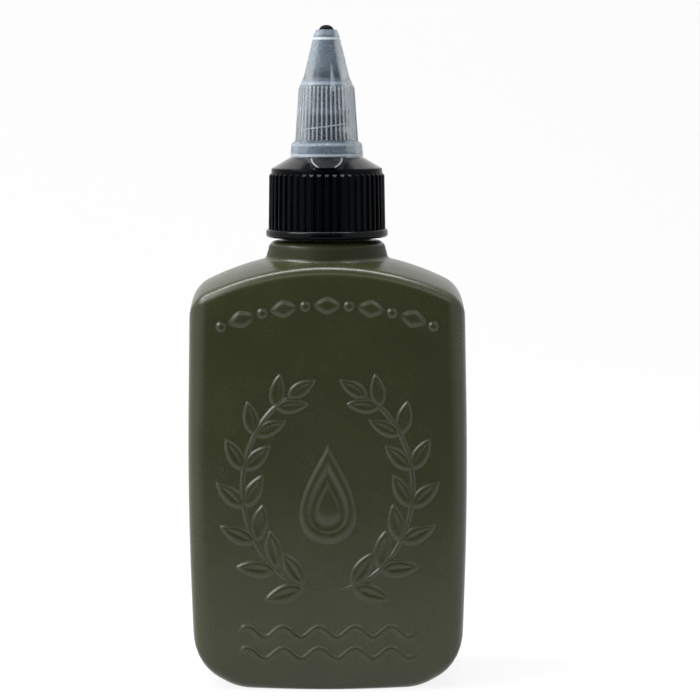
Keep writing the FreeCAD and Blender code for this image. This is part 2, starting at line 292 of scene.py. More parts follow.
# %% [markdown]
# ## Lamps
# Three flat lamps do the rest. A long strip overhead is mirrored in the rounded edge under the shoulders
# and draws the bright arch there. A weak one in front lights the face just below that arch and the collar's
# rim. A square one, high on the left, rakes over the front and gives raised shapes a light side.


# %% Lamps
def soft_light(name, place, aim, width, height, brightness):
    """A flat lamp that shines as bright as the number says, where 1 is white paper."""
    lamp = bpy.data.lights.new(name, "AREA")
    lamp.shape, lamp.size, lamp.size_y = "RECTANGLE", width, height
    lamp.energy = brightness * math.pi * width * height
    holder = bpy.data.objects.new(name, lamp)
    bpy.context.scene.collection.objects.link(holder)
    holder.location = place
    holder.rotation_euler = (Vector(aim) - Vector(place)).to_track_quat("-Z", "Y").to_euler()
    holder.visible_camera = False


soft_light("top_light", (-0.25, 0.02, 0.75), aim=(-0.25, 0, 0.08), width=1.15, height=0.12, brightness=20.0)
soft_light("front_light", (0.0, -0.57, 0.5), aim=(0, 0, 0.08), width=1.0, height=0.14, brightness=2.5)
soft_light("key_light", (-0.66, -0.34, 0.62), aim=(0, 0, 0.06), width=0.5, height=0.5, brightness=7.5)

# %% [markdown]
# ## Olive plastic
# The bottle is blown from olive-green polyethylene. Such plastic is satin, not glossy: it has a very fine
# grain from the mould, a slow waviness because its wall cools unevenly, and pigment that is not mixed
# perfectly. Where the two halves of the mould meet, a hair-thin line runs up both sides. All of that is
# small noise on object coordinates, and the line is a narrow step at the middle of the depth. The collar
# comes from another part of the mould, which leaves its wall more matt. A darker, matt share is mixed in
# there, and its darker colour is painted shade for the shadow that the cap casts on the collar.

# %% Olive plastic
olive = Finish("olive_plastic")
spot = olive.place()
pigment = olive.noise(spot, 14, 3.0)
flecks = olive.noise(spot, 0.9, 2.0)
waves = olive.noise(spot, 7.0, 1.0)
grain = olive.noise(spot, 0.22, 2.0)
seam = 1 - olive.smooth_step(olive.absolute(olive.along(spot, "Y")), 0.05 * mm, 0.22 * mm)
mottle = olive.smooth_step(pigment * 0.8 + flecks * 0.2, 0.3, 0.7)
olive.set(
    Base_Color=olive.blend(mottle, colour(44, 46, 25), colour(48, 50, 28)),
    Roughness=0.23 + pigment * 0.05 + grain * 0.03,
    IOR=1.45,
)
olive.bump(waves * 0.55 + grain * 0.02 + seam * 0.6, 0.05)
print("olive nodes:", len(olive.tree.nodes))

# %% Collar with painted shade
collar_levels, collar_soft, collar_reach = (81.3, 83.65), 0.3, (11.6 * mm, 12.1 * mm)
collar_shade_share = olive.band(olive.along(spot, "Z"), *collar_levels, collar_soft)
collar_shade_share = collar_shade_share * (1 - olive.smooth_step(olive.from_axis(spot), *collar_reach))
# This share's darker colour is painted shade for the cap's shadow on the collar; its roughness makes the wall
# more matt.
shaded_matt_collar = olive.node("ShaderNodeBsdfPrincipled", {}, {
    "Base Color": colour(40, 42, 25),
    "Roughness": 0.5,
    "Specular IOR Level": 0.12,
})
olive.mix_in(collar_shade_share * 0.95, shaded_matt_collar)
print("olive nodes with the collar:", len(olive.tree.nodes))

# %% [markdown]
# ## Black closure
# The closure is injection-moulded polypropylene, nearly black. Handling leaves it slightly uneven, so a fine
# scuff noise lifts the roughness in places. The mould is polished only at the cone and, less, at the bead at
# the foot; the ribs between them are matt. A clear coat that follows the height gives that difference.

# %% Black closure
black = Finish("black_closure")
spot = black.place()
level = black.along(spot, "Z")
scuffs = black.smooth_step(black.noise(spot, 1.6, 4.0, 0.65), 0.45, 0.75)
dust = black.noise(spot, 0.3, 2.0)
cone_levels, bead_levels, plug_foot = (98.2, 100.7), (84.7, 86.5), (123.0 * mm, 123.6 * mm)
cone_polish, bead_polish = (black.band(level, *levels) for levels in (cone_levels, bead_levels))
matt_plug = black.smooth_step(level, *plug_foot)
black.set(
    Base_Color=black.blend(scuffs, colour(2, 3, 5), colour(5, 6, 8)),
    Roughness=0.17 + scuffs * 0.05 + dust * 0.04 + matt_plug * 0.35,
    Coat_Weight=cone_polish * 0.68 + bead_polish * 0.16 + 0.02,
    Coat_Roughness=0.18,
    IOR=1.49,
    Specular_IOR_Level=0.05,
    Specular_Tint=(0.82, 0.92, 1, 1),
)
black.bump(dust * 0.5 + scuffs * 0.5, 0.004)
nodes["screw_cap"].material_slots[0].material = black.material
print("black nodes:", len(black.tree.nodes))

# %% [markdown]
# ## Frosted spout
# The spout is polyethylene without pigment, which looks milky: light comes through, but a part of it is
# scattered in the wall, so the black post inside shows as a soft dark core. Two shaders are mixed. One lets
# light through and bends it little, as thin frosted plastic does. The other is the cool white of scattered
# light. The ribs are thick and milkier than the grooves between them, so the mix follows the distance from
# the axis: the crests of the ribs lie a known distance out at every height. The inner faces, which lie
# nearer to the axis, stay clear, or four layers of milk would hide the post. Thick places are milkiest: the
# floor of the mouth, the slopes, both edges of the flange, and the twist thread, a slanting line inside.
# Their milk is a lighter white. In the bands at the mouth, the slopes and the flange, that lighter white is
# also a painted highlight for the bright lines that the inner steps refract there.

# %% Frosted spout
frosted = Finish("frosted_spout")
spot = frosted.place()
cloud = frosted.noise(spot, 3.0, 2.0)
fine = frosted.noise(spot, 0.25, 2.0)
frosted.set(
    Base_Color=frosted.blend(cloud, colour(198, 200, 201), colour(212, 213, 213)),
    Roughness=0.22 + cloud * 0.06 + fine * 0.03,
    IOR=1.2,
    Transmission_Weight=1.0,
)
frosted.bump(fine * 0.5 + cloud * 0.5, 0.006)
across, forward, level = (frosted.along(spot, axis) for axis in "XYZ")
out_from_axis = frosted.from_axis(spot)
bore_reach, nozzle_foot, nozzle_taper = 4.9 * mm, 113.5 * mm, 0.28
above = frosted.node("ShaderNodeMath", {"operation": "MAXIMUM"}, {0: level - nozzle_foot, 1: 0.0})
outside = frosted.smooth_step(out_from_axis - (bore_reach - above * nozzle_taper), -0.1 * mm, 0.1 * mm)
print("frosted nodes so far:", len(frosted.tree.nodes))

# %% Milk on the ribs
grip_reach, grip_foot, grip_taper = 6.05 * mm, 103.44 * mm, 0.75 / 10.4
rib_levels, rib_soft, rib_crest = (103.4, 114.1), 0.25, (-0.24 * mm, -0.04 * mm)
crest = grip_reach - (level - grip_foot) * grip_taper
on_rib = frosted.smooth_step(out_from_axis - crest, *rib_crest) * frosted.band(level, *rib_levels, rib_soft)
print("frosted nodes with the ribs:", len(frosted.tree.nodes))

# %% Milk, and painted highlights, in thick places
# Each band is thicker plastic, and its share of lighter milk is also a painted highlight for a bright line
# there.
thick_and_highlight_places = (  # lowest and highest level and soft end in mm, share of milk
    (122.45, 122.9, 0.12, 0.6),
    (123.2, 124.6, 0.12, 0.12),
    (113.9, 114.5, 0.2, 0.25),
    (108.4, 109.6, 0.5, 0.08),
    (102.4, 102.8, 0.12, 0.3),
    (100.45, 100.9, 0.12, 0.45),
)
veiled_places = ((108.4, 114.2, 0.5, 0.06), (100.0, 103.0, 0.2, 0.08))
wall_milk, nozzle_milk, nozzle_start = 0.12, 0.13, (113.8 * mm, 114.6 * mm)


def milk_in(places, milk=0.0):
    """Adds the share of milk of each place, at the levels where it lies."""
    for low, high, soft, milk_share in places:
        milk = frosted.band(level, low, high, soft) * milk_share + milk
    return milk


# The milk of these bands is partly a painted highlight.
thick = milk_in(thick_and_highlight_places)
veil = milk_in(veiled_places, wall_milk) + frosted.smooth_step(level, *nozzle_start) * nozzle_milk
print("thick places:", len(thick_and_highlight_places), "veiled places:", len(veiled_places))

# %% Thread line, and the mix
lead, line_level, line_milk = 3.4 * mm, 106.95 * mm, 0.9
line_half, front_fade = (0.09 * mm, 0.2 * mm), (-1.0 * mm, 0.0)
angle = frosted.node("ShaderNodeMath", {"operation": "ARCTAN2"}, {0: forward, 1: across})
off_thread = frosted.absolute(level - angle * (lead / (2 * math.pi)) - line_level)
in_front = 1 - frosted.smooth_step(forward, *front_fade)
thread_line = (1 - frosted.smooth_step(off_thread, *line_half)) * (1 - outside) * in_front * line_milk
share = outside * (veil + on_rib * 0.36 + cloud * 0.05 + thick) + thread_line
milky = frosted.blend(cloud, colour(134, 155, 175), colour(150, 170, 188))
milky = frosted.blend(on_rib * 0.6, milky, colour(186, 188, 189))
# The lighter white where the bands lie is partly a painted highlight.
milk = frosted.node("ShaderNodeBsdfPrincipled", {}, {
    "Base Color": frosted.blend(thick + thread_line, milky, colour(212, 213, 212)),
    "Roughness": 0.35 + fine * 0.1,
    "IOR": 1.5,
})
frosted.mix_in(share, milk)
nodes["twist_spout"].material_slots[0].material = frosted.material
print("frosted nodes:", len(frosted.tree.nodes))

# %% [markdown]
# ## Liner and seal
# Two soft rings keep the bottle tight: a white foam washer on the neck's rim, and a black rubber ring in
# the spout. They hide inside, and show only when the closure is off.

# %% Liner and seal
foam = Finish("white_foam")
spot = foam.place()
cells = foam.noise(spot, 0.25, 3.0, 0.6)
foam.set(
    Base_Color=foam.blend(cells, colour(205, 205, 200), colour(232, 232, 228)),
    Roughness=0.7 + cells * 0.2,
)
foam.bump(cells, 0.04)
nodes["neck_liner"].material_slots[0].material = foam.material

rubber = Finish("black_rubber")
spot = rubber.place()
bloom = rubber.noise(spot, 0.5, 3.0)
rubber.set(
    Base_Color=rubber.blend(bloom, colour(17, 18, 20), colour(30, 31, 33)),
    Roughness=0.5 + bloom * 0.2,
)
rubber.bump(bloom, 0.01)
nodes["spout_seal"].material_slots[0].material = rubber.material
print("soft rings:", foam.material.name, rubber.material.name)

# %% [markdown]
# ## The bottle's shape in numbers
# The body is a flat block with bowed faces. Seen from the front its sides bulge a little, its heel corners
# are wide arcs, and its shoulders are one arch. Seen from above it is a rectangle with rounded corners.
# Each of these is a short function in millimetres, taken from the same sizes as the solid.

# %% Sizes of the body
half_width, half_depth, face_bow = 26.55, 14.6, 1.2
waist, base_half, shoulder_half, shoulder, waist_round = 37.0, 25.35, 25.85, 75.55, 16.65
heel_radius, heel_start = 11.0, 14.70
arch_radius, crown, slope = 51.38, 82.29, math.radians(25)
corner_radius, corner_x, corner_z = 6.0, 19.919, 71.695
fall, fall_depth = 2.6, 15
wall_corner, heel_softer, heel_soft_height = 3.8, 2.2, 16
face_radius = (half_width**2 + face_bow**2) / (2 * face_bow)


def side_reach(z):
    """Half the body's width at a height."""
    low, high = (half_width - base_half) / waist, (shoulder_half - half_width) / (shoulder - waist)
    if z < waist - waist_round:
        return base_half + low * z
    if z > waist + waist_round:
        return half_width + high * (z - waist)
    along = z - waist + waist_round
    return base_half + low * (waist - waist_round) + low * along + (high - low) * along**2 / (4 * waist_round)


def under(x, start=heel_start, radius=heel_radius):
    """Height of the underside: flat in the middle, an arc up to each side."""
    beyond = min(max(abs(x) - start, 0), radius)
    return radius - math.sqrt(radius**2 - beyond**2)


def over(x, y):
    """Height of the shoulders: an arch that ends in a small corner arc, lower towards front and back."""
    x = abs(x)
    if x < arch_radius * math.sin(slope):
        height = crown - arch_radius + math.sqrt(arch_radius**2 - x**2)
    elif x < corner_x + corner_radius * math.sin(slope):
        height = shoulder + (shoulder_half - x) * math.tan(slope)
    else:
        height = corner_z + math.sqrt(max(corner_radius**2 - (x - corner_x) ** 2, 0))
    return height - fall * (y / fall_depth) ** 2


def face_sag(x):
    """How far the bowed front face lies back at x."""
    return face_radius - math.sqrt(face_radius**2 - x**2)


def corner_at(z):
    """Radius of the outline's corners at a height, softer towards the heel."""
    return wall_corner + heel_softer * max(0, 1 - z / heel_soft_height) ** 2


print("body at waist:", round(2 * side_reach(waist), 2), "crown:", over(0, 0))

# %% [markdown]
# ## Stations round the body
# The skin is made of rings, and every ring has the same stations: steps along the front, round a corner,
# along a side, and so on. A station knows its place on the outline for any width of the body, and which
# way is outwards there. So a ring may climb higher at the front than at the sides and still stay in order.

# %% Stations
face_steps, corner_steps, side_steps = 44, 8, 14
stations = []
for quarter in range(2):
    stations += [("face", quarter, step / face_steps) for step in range(face_steps)]
    stations += [("corner", 2 * quarter, step / corner_steps) for step in range(corner_steps)]
    stations += [("side", quarter, step / side_steps) for step in range(side_steps)]
    stations += [("corner", 2 * quarter + 1, step / corner_steps) for step in range(corner_steps)]


def outline(station, reach, depth=half_depth, corner=wall_corner):
    """Place and outward direction of a station: x, y, nx, ny."""
    kind, which, share = station
    end_x = (reach - corner) / (1 - corner / face_radius)
    end_y = depth - face_sag(end_x)
    tilt = math.asin(end_x / face_radius)
    centre_x, centre_y = reach - corner, end_y - corner * math.cos(tilt)
    if kind == "face":
        x = end_x * (2 * share - 1)
        lean = math.asin(x / face_radius)
        spot = (x, face_sag(x) - depth, math.sin(lean), -math.cos(lean))
        turn = which
    elif kind == "side":
        spot = (reach, centre_y * (2 * share - 1), 1.0, 0.0)
        turn = which
    else:
        span = math.pi / 2 - tilt
        angle = -span + span * share if which % 2 == 0 else span * share
        side = -1 if which % 2 == 0 else 1
        spot = (
            centre_x + corner * math.cos(angle),
            side * centre_y + corner * math.sin(angle),
            math.cos(angle),
            math.sin(angle),
        )
        turn = which // 2
    return spot if turn == 0 else tuple(-value for value in spot)


print("stations:", len(stations), "first:", [round(v, 2) for v in outline(stations[0], half_width)])

# %% [markdown]
# ## Edges of a blown moulding
# A blown bottle has no constant edge: the skin is stretched most at the corners, so edges there are
# softer. Along the arch the edge is tight, which gives the thin bright line over the front. Each station
# therefore gets its own radius. In the upright plane of a station the wall is a straight line and
# the shoulders, or the underside, a curve; the edge is the arc that touches both, found by halving.


# %% Radii of the edges
def edge_radius(least, gain, span, power):
    """A radius that grows along x, from the middle towards the corners."""
    return lambda x: least + gain * min(abs(x) / span, 1) ** power


heel_edge = edge_radius(least=1.0, gain=2.6, span=21, power=1.7)
arch_edge = edge_radius(least=2.35, gain=0.25, span=22, power=4)
print("heel radius in the middle and at a corner:", heel_edge(0), heel_edge(half_width))


# %% Even points
def evenly(path, steps):
    """Points at even spacing along a line of points."""
    lengths = [0.0]
    for first, second in zip(path, path[1:]):
        lengths.append(lengths[-1] + math.dist(first, second))
    points = []
    for step in range(steps + 1):
        goal = lengths[-1] * step / steps
        index = max(i for i in range(len(path) - 1) if lengths[i] <= goal)
        share = (goal - lengths[index]) / max(lengths[index + 1] - lengths[index], 1e-9)
        points.append(tuple(a + (b - a) * min(share, 1) for a, b in zip(path[index], path[index + 1])))
    return points


print("even points on a bent line:", evenly([(0, 0), (1, 0), (1, 1)], 4))

# %% Rounded edges
arc_steps, flat_steps, nudge, least_reach = 24, 12, 0.01, 0.5


def edge_at(station, surface, radius_at, side, steps):
    """Points from the wall onto the shoulders (side 1) or the underside (side -1) at one station."""
    z = surface(*outline(station, half_width)[:2])
    for _ in range(12):
        x, y, nx, ny = outline(station, side_reach(z), corner=corner_at(z))
        z = surface(x, y)
    radius = radius_at(x)

    def height(inwards):
        return side * surface(x - nx * inwards, y - ny * inwards)

    def lean(inwards):
        return math.atan2(height(inwards + nudge) - height(inwards), nudge)

    low, high = 0.0, radius
    for _ in range(30):
        touch = (low + high) / 2
        if touch < radius * (1 - math.sin(lean(touch))):
            low = touch
        else:
            high = touch
    tilt = lean(touch)
    centre, last = height(touch) - radius * math.cos(tilt), max(touch, least_reach)
    arc = [(math.pi / 2 - tilt) * step / arc_steps for step in range(arc_steps + 1)]
    path = [(radius * (1 - math.cos(turn)), centre + radius * math.sin(turn)) for turn in arc]
    flat = [touch + (last - touch) * step / flat_steps for step in range(1, flat_steps + 1)]
    path += [(inwards, height(inwards)) for inwards in flat]
    points = []
    for inwards, level in evenly(path, steps):
        wall_x, wall_y = outline(station, side_reach(side * level), corner=corner_at(side * level))[:2]
        share = inwards / last
        points.append(Vector((
            wall_x + (x - wall_x) * share - nx * inwards,
            wall_y + (y - wall_y) * share - ny * inwards,
            side * level,
        )))
    return points


heel_steps, arch_steps = 8, 8
heels = [edge_at(s, lambda x, y: under(x), heel_edge, -1, heel_steps) for s in stations]
arches = [edge_at(s, over, arch_edge, 1, arch_steps) for s in stations]
front = face_steps // 2
heel_front, arch_front = ([round(v, 2) for v in point] for point in (heels[front][0], arches[front][-1]))
print("heel in front:", heel_front, "arch:", arch_front)

# %% [markdown]
# ## Rings of the skin
# The skin starts under the bottle, runs out to the heel, up the walls, over the shoulders, round the
# collar, up the neck, over its rim and down inside to the inner floor. That is one unbroken surface, like a
# real bottle, so it needs no cutting. First come the rings from the base's hollow to the shoulders' edge.

# %% Rings of base, wall and shoulders
base_hollow = (  # share of the base's outline, height in mm
    (0.12, 0.8), (0.3, 0.8), (0.44, 0.8), (0.47, 0.77), (0.49, 0.66), (0.52, 0.22), (0.54, 0.06), (0.57, 0.0),
)
base_steps, base_share, wall_steps = 13, 0.40, 24
rings = []
for share, lift in base_hollow:
    rings.append([(h[-1].x * share, h[-1].y * share, max(lift, under(h[-1].x * share))) for h in heels])
for step in range(base_steps, 0, -1):
    share = 1 - base_share * (step / base_steps) ** 2
    rings.append([(h[-1].x * share, h[-1].y * share, under(h[-1].x * share)) for h in heels])
for step in range(heel_steps, -1, -1):
    rings.append([tuple(h[step]) for h in heels])
for step in range(1, wall_steps):
    ring = []
    for station, h, a in zip(stations, heels, arches):
        z = h[0].z + (a[0].z - h[0].z) * step / wall_steps
        x, y = outline(station, side_reach(z), corner=corner_at(z))[:2]
        ring.append((x, y, z))
    rings.append(ring)
for step in range(arch_steps + 1):
    rings.append([tuple(a[step]) for a in arches])
print("rings up to the shoulders' edge:", len(rings))

# %% Rings of the shoulders
collar, shoulder_steps, blend_steps, gather = 11.45, 18, 6, 1.7
headings = []
for station in stations:
    x, y = outline(station, half_width)[:2]
    headings.append(Vector((x / half_width, y / half_depth)).normalized())


def foot_blend(heading, in_front=0.6, gain=0.7):
    """Radius of the hollow at the collar's foot, tight in front and wide at the sides."""
    return in_front + gain * heading.x**2


def edge_turns(steps, first=0):
    """A quarter turn in even steps."""
    return [math.pi / 2 * step / steps for step in range(first, steps + 1)]


for step in range(1, shoulder_steps + 1):
    share = (step / shoulder_steps) ** gather
    ring = []
    for a, heading in zip(arches, headings):
        foot = collar + foot_blend(heading)
        x = a[-1].x + (heading.x * foot - a[-1].x) * share
        y = a[-1].y + (heading.y * foot - a[-1].y) * share
        ring.append((x, y, over(x, y)))
    rings.append(ring)
for turn in edge_turns(blend_steps, 1):
    ring = []
    for heading in headings:
        blend = foot_blend(heading)
        low = over(heading.x * (collar + blend), heading.y * (collar + blend))
        radius = collar + blend * (1 - math.sin(turn))
        ring.append((heading.x * radius, heading.y * radius, low + blend * (1 - math.cos(turn))))
    rings.append(ring)
print("rings up to the collar:", len(rings))

# %% Rings of collar and neck
collar_top, collar_edge, collar_taper, collar_steps = 84.35, 1.6, 0.25, 8
neck, neck_levels, crease_out, crease_up = 8.7, (88.0, 92.0), 0.05, 0.08
rim, rim_edge, rim_steps = 96.19, 0.5, 5
bore, bore_level, bore_foot, lip, lip_soft = 7.2, 90.0, 82.5, 0.3, 0.08


def round_ring(radius, height):
    return [(heading.x * radius, heading.y * radius, height) for heading in headings]


profile = []
for turn in edge_turns(collar_steps):
    inwards, down = collar_edge * (1 - math.cos(turn)), collar_edge * (1 - math.sin(turn))
    profile.append((collar - collar_taper - inwards, collar_top - down))
profile += [(neck + crease_out, collar_top), (neck, collar_top + crease_up)]
profile += [(neck, height) for height in (*neck_levels, rim - rim_edge)]
for turn in edge_turns(rim_steps, 1):
    profile.append((neck - rim_edge * (1 - math.cos(turn)), rim - rim_edge * (1 - math.sin(turn))))
profile += [(bore + lip, rim), (bore + lip_soft, rim - lip_soft)]
profile += [(bore, height) for height in (rim - lip, bore_level, bore_foot)]
rings += [round_ring(radius, height) for radius, height in profile]
print("rings up to the bore:", len(rings))

# %% Rings of the inside
wall, inner_floor, bore_flare, roof_drop = 1.2, 1.9, 0.4, 1.1
inner_top, inner_levels, inner_foot = 72, (60.0, 40.0, 20.0), 11
roof_steps, floor_steps, floor_share = 12, 9, 0.9


def inner_outline(height):
    """Places of all stations on the inner face of the wall at a height."""
    reach = side_reach(height) - wall
    return [outline(station, reach, half_depth - wall, wall_corner - wall)[:2] for station in stations]


for step in range(1, roof_steps + 1):
    share = 1 - (1 - step / roof_steps) ** gather
    grown = 1 + wall / half_width
    ring = []
    for (end_x, end_y), heading in zip(inner_outline(inner_top), headings):
        start = heading * (bore + bore_flare)
        x, y = start.x + (end_x - start.x) * share, start.y + (end_y - start.y) * share
        ring.append((x, y, over(x * grown, y) - wall * roof_drop))
    rings.append(ring)
for height in inner_levels:
    rings.append([(x, y, height) for x, y in inner_outline(height)])
for step in range(floor_steps + 1):
    share = 1 - floor_share * (step / floor_steps) ** 2
    ring = []
    for x, y in inner_outline(inner_foot):
        ring.append((x * share, y * share, inner_floor + under(x * share, heel_start, heel_radius - wall)))
    rings.append(ring)
print("rings in all:", len(rings))

# %% [markdown]
# ## Extruding the skin
# Now the rings become a mesh. A circle with as many points as a ring has stations is added, and its loop
# is extruded again and again; after each extrude the new loop is moved onto the next ring. Every point
# carries its station number, which an extrude copies, so the right point goes to the right place. Both
# ends close on a middle point.


# %% Extruded skin
def extruded_skin(name, rings):
    """A mesh through rings of points in millimetres: a circle whose loop is extruded from ring to ring."""
    piece = add(bpy.ops.mesh.primitive_circle_add, vertices=len(rings[0]), radius=mm, fill_type="NOTHING")
    piece.name = name
    number = piece.data.attributes.new("station", "INT", "POINT")
    for vertex in piece.data.vertices:
        number.data[vertex.index].value = vertex.index
    bpy.ops.object.mode_set(mode="EDIT")
    bpy.ops.mesh.select_mode(type="VERT")
    bpy.ops.mesh.select_all(action="SELECT")

    def move_loop(points):
        mesh = bmesh.from_edit_mesh(piece.data)
        layer = mesh.verts.layers.int["station"]
        for vertex in mesh.verts:
            if vertex.select:
                vertex.co = Vector(points[vertex[layer]]) * mm
        bmesh.update_edit_mesh(piece.data)

    def close(ring):
        middle = sum((Vector(point) for point in ring), Vector()) / len(ring)
        bpy.ops.mesh.extrude_edges_move()
        move_loop([middle] * len(ring))
        bpy.ops.mesh.merge(type="CENTER")

    move_loop(rings[0])
    for ring in rings[1:]:
        bpy.ops.mesh.extrude_edges_move()
        move_loop(ring)
    close(rings[-1])
    bpy.ops.mesh.select_all(action="DESELECT")
    bpy.ops.mesh.select_non_manifold()
    close(rings[0])
    bpy.ops.mesh.select_all(action="SELECT")
    bpy.ops.mesh.normals_make_consistent(inside=False)
    bpy.ops.object.mode_set(mode="OBJECT")
    return piece


bottle = extruded_skin("bottle_shell", rings)
print("bottle skin:", len(bottle.data.vertices), "points", len(bottle.data.polygons), "faces")

# %% [markdown]
# ## Neck thread
# The closure grips a ridge that climbs the neck one and a half turns. It is the same kind of skin: a small
# ridge section is carried round the neck, rising as it goes, and shrinks into the wall at both ends.


# %% Neck thread
def join(pieces):
    """Joins pieces into the first of them."""
    bpy.ops.object.select_all(action="DESELECT")
    for piece in pieces:
        piece.select_set(True)
    bpy.context.view_layer.objects.active = pieces[0]
    bpy.ops.object.transform_apply(location=True, rotation=True, scale=True)
    bpy.ops.object.join()
    return pieces[0]


pitch, turns, ridge_start, ridge_rise, ridge_sink = 3.175, 1.5, 89.23, 1.0, 0.15
root_half, foot_half, flank_half, crest_half, root_depth, crest_round = 1.1, 0.95, 0.45, 0.28, 0.3, 0.15
ridge_steps, fade = 84, 6
sections = []
for step in range(ridge_steps + 1):
    angle = 2 * math.pi * turns * step / ridge_steps
    growth = min(1, fade * step / ridge_steps * turns, fade * (1 - step / ridge_steps) * turns)
    height = ridge_start + pitch * angle / (2 * math.pi)
    crest = neck + ridge_rise * growth - ridge_sink * (1 - growth)
    lower = (
        (neck - root_depth, -root_half), (neck, -foot_half),
        (crest - crest_round, -flank_half), (crest, -crest_half),
    )
    profile = (*lower, *((reach, -below) for reach, below in reversed(lower)))
    sections.append([(r * math.cos(angle), r * math.sin(angle), height + z) for r, z in profile])
join([bottle, extruded_skin("neck_thread", sections)])
bpy.ops.object.shade_smooth_by_angle(angle=math.radians(38))
print("bottle with thread:", len(bottle.data.polygons), "faces")


# %% Dress the bottle
def dress(piece, finish):
    piece.data.materials.clear()
    piece.data.materials.append(finish.material)


dress(bottle, olive)
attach(bottle, "bottle")
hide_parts("bottle")
print("bottle wears:", bottle.data.materials[0].name)

# %% [markdown]
# ## Raised ornament
# The front carries a raised ornament in the same plastic, because the mould is engraved there: a wreath of
# two leafy branches round a drop of oil, a chain of lozenges below the arch, and waves above the heel. An
# engraved shape has a soft foot, a rounded edge and a nearly flat top. It could be a bump in the finish,
# but then its edges would not catch the light, so each motif is a small mesh. It is made flat, like the
# skin above, from outlines that draw in as they rise.


# %% Leaf
def circle(count):
    """Angles of as many even steps round a circle."""
    return [2 * math.pi * step / count for step in range(count)]


def spread(value, power=1.45):
    """A sine or cosine bent so that an ellipse gets pointed ends."""
    return math.copysign(abs(value) ** power, value)


def raised(name, loop, levels):
    """A motif that faces the front: loop(share) is its outline drawn in, levels pair shares and heights."""
    return extruded_skin(name, [[(x, -height, z) for x, z in loop(share)] for share, height in levels])


def leaf_loop(share, length=8.2, half=1.9, slimmer_tip=0.25, draw_in=0.6, count=32):
    points = []
    for angle in circle(count):
        across = half * spread(math.sin(angle)) * (1 - slimmer_tip * math.cos(angle))
        points.append((length / 2 * (1 + math.cos(angle) * (1 - draw_in * (1 - share))), across * share))
    return points


leaf = raised("leaf", leaf_loop, (
    (1.0, -0.3), (1.0, -0.02), (0.94, 0.03), (0.87, 0.12), (0.79, 0.23), (0.69, 0.32),
    (0.57, 0.375), (0.40, 0.39), (0.22, 0.35), (0.11, 0.29),
))
print("leaf faces:", len(leaf.data.polygons))


# %% Drop, lozenge and dot
def drop_loop(share, half=7.6, half_high=9.6, point=1.4, heart=-2.8, count=48):
    points = []
    for angle in circle(count):
        x, z = half * math.sin(angle) * abs(math.sin(angle / 2)) ** point, half_high * math.cos(angle)
        points.append((x * share, heart + (z - heart) * share))
    return points


def lozenge_loop(share, half_long=2.7, half_high=1.75, count=24):
    return [
        (half_long * spread(math.cos(angle)) * share, half_high * spread(math.sin(angle)) * share)
        for angle in circle(count)
    ]


def dot_loop(share, radius=1.05, count=16):
    return [(radius * share * math.cos(angle), radius * share * math.sin(angle)) for angle in circle(count)]


small_levels = (
    (1.0, -0.3), (1.0, -0.02), (0.92, 0.03), (0.8, 0.12),
    (0.68, 0.23), (0.55, 0.32), (0.4, 0.37), (0.18, 0.39),
)
drop = raised("drop", drop_loop, (
    (1.0, -0.3), (1.0, -0.02), (0.975, 0.04), (0.94, 0.15), (0.90, 0.28), (0.86, 0.37), (0.82, 0.39),
    (0.75, 0.39), (0.71, 0.36), (0.67, 0.26), (0.63, 0.14), (0.595, 0.06), (0.56, 0.03), (0.46, 0.03),
    (0.42, 0.07), (0.37, 0.19), (0.31, 0.31), (0.25, 0.37), (0.14, 0.39),
))
lozenge = raised("lozenge", lozenge_loop, small_levels)
dot = raised("dot", dot_loop, small_levels)
print("drop faces:", len(drop.data.polygons))

# %% [markdown]
# ## Laying out the ornament
# Stems and waves are narrow ridges, carried along a line of points like the neck's thread. The leaves,
# lozenges and dots are modelled once, and each copy, with a mesh of its own, is turned and set in its
# place. Then all are joined, and every point is set back onto the bowed front.


# %% Stems and waves
half_ridge = ((-1, -0.3), (-1, -0.02), (-0.85, 0.08), (-0.6, 0.42), (-0.3, 0.86))
ridge_profile = (*half_ridge, (0, 1), *((-across, rise) for across, rise in reversed(half_ridge)))


def end_growth(index, count, first, gain):
    """How thick a ridge is at a point of its line: it grows from both ends."""
    return min(1, first + gain * index, first + gain * (count - 1 - index))


def ridge(name, line, half, height):
    """A soft ridge along a line of points (x, z) that tapers to both ends."""
    sections = []
    for index, (x, z) in enumerate(line):
        before, after = line[max(index - 1, 0)], line[min(index + 1, len(line) - 1)]
        along = Vector((after[0] - before[0], after[1] - before[1])).normalized()
        growth = end_growth(index, len(line), first=0.25, gain=0.25)
        section = []
        for across, rise in ridge_profile:
            aside, lift = half * growth * across, rise * height * growth if rise > 0 else rise
            section.append((x - along.y * aside, -lift, z + along.x * aside))
        sections.append(section)
    return extruded_skin(name, sections)


wreath_half, wreath_half_high, wreath_middle = 16.0, 19.5, 38.5
stem_foot, stem_tip, stem_step = -86, 63, 4
wave_start, wave_step, wave_steps, wave_length, wave_height = -17.0, 0.34, 100, 6.8, 1.0
wave_levels = (6.9, 11.0)


def branch_point(side, degrees):
    """A point of the wreath's branch, and the direction in which the branch grows there."""
    angle = math.radians(degrees)
    x, z = side * wreath_half * math.cos(angle), wreath_middle + wreath_half_high * math.sin(angle)
    return x, z, math.atan2(wreath_half_high * math.cos(angle), -side * wreath_half * math.sin(angle))


ornament = [drop]
for side in (1, -1):
    line = [branch_point(side, degrees)[:2] for degrees in range(stem_foot, stem_tip, stem_step)]
    ornament.append(ridge("stem", line, half=0.6, height=0.34))
for level in wave_levels:
    steps = [wave_step * step for step in range(wave_steps + 1)]
    line = [(wave_start + x, level + wave_height * math.sin(2 * math.pi * x / wave_length)) for x in steps]
    ornament.append(ridge("wave", line, half=0.95, height=0.39))
print("ridges:", len(ornament) - 1)


